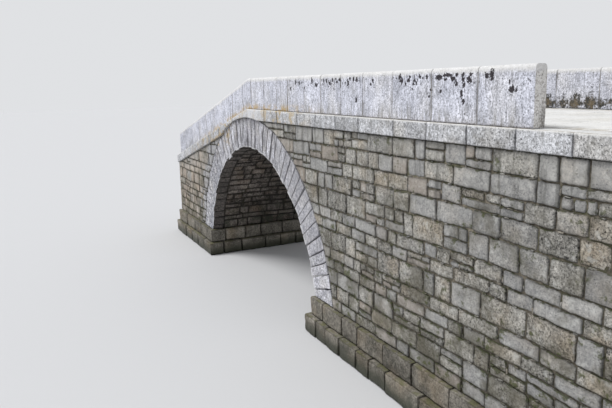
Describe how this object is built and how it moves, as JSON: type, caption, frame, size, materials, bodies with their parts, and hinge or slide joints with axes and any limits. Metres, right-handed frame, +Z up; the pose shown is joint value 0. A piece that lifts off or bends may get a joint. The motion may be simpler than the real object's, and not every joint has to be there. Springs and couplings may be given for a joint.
{
  "type": "stone arch bridge",
  "caption": "Stone bridge with one round arch, a level roadway, a ramp falling from the crown, and upright slab parapets.",
  "frame": {"origin": "underside of the foundations, at the middle of the overall length and width", "axes": "+X along the bridge from the foot of the ramp towards the level end, +Y across it from the near face to the far face, +Z up"},
  "size_m": [23.58, 6.08, 6.81],
  "materials": {
    "foundation_stone": "rough",
    "rubble_fill": "rough",
    "wall_stone": "rough",
    "vault_stone": "rough",
    "arch_stone": "weathered",
    "course_stone": "weathered",
    "parapet_stone": "weathered",
    "paving_stone": "worn smooth"
  },
  "bodies": {
    "root": {"far_crown_slab": "parapet_stone", "far_keystone": "arch_stone", "far_left_spandrel": "wall_stone", "far_left_voussoirs": "arch_stone", "far_left_wing_wall": "wall_stone", "far_level_parapet": "parapet_stone", "far_level_string_course": "course_stone", "far_ramp_parapet": "parapet_stone", "far_ramp_string_course": "course_stone", "far_right_spandrel": "wall_stone", "far_right_voussoirs": "arch_stone", "far_right_wing_wall": "wall_stone", "left_end_wall": "wall_stone", "left_fill": "rubble_fill", "left_foundation": "foundation_stone", "level_roadway": "paving_stone", "near_crown_slab": "parapet_stone", "near_keystone": "arch_stone", "near_left_spandrel": "wall_stone", "near_left_voussoirs": "arch_stone", "near_left_wing_wall": "wall_stone", "near_level_parapet": "parapet_stone", "near_level_string_course": "course_stone", "near_ramp_parapet": "parapet_stone", "near_ramp_string_course": "course_stone", "near_right_spandrel": "wall_stone", "near_right_voussoirs": "arch_stone", "near_right_wing_wall": "wall_stone", "ramp_roadway": "paving_stone", "right_end_wall": "wall_stone", "right_fill": "rubble_fill", "right_foundation": "foundation_stone", "vault_crown": "vault_stone", "vault_left_haunch": "vault_stone", "vault_left_springing": "vault_stone", "vault_right_haunch": "vault_stone", "vault_right_springing": "vault_stone"}
  },
  "joints": []
}
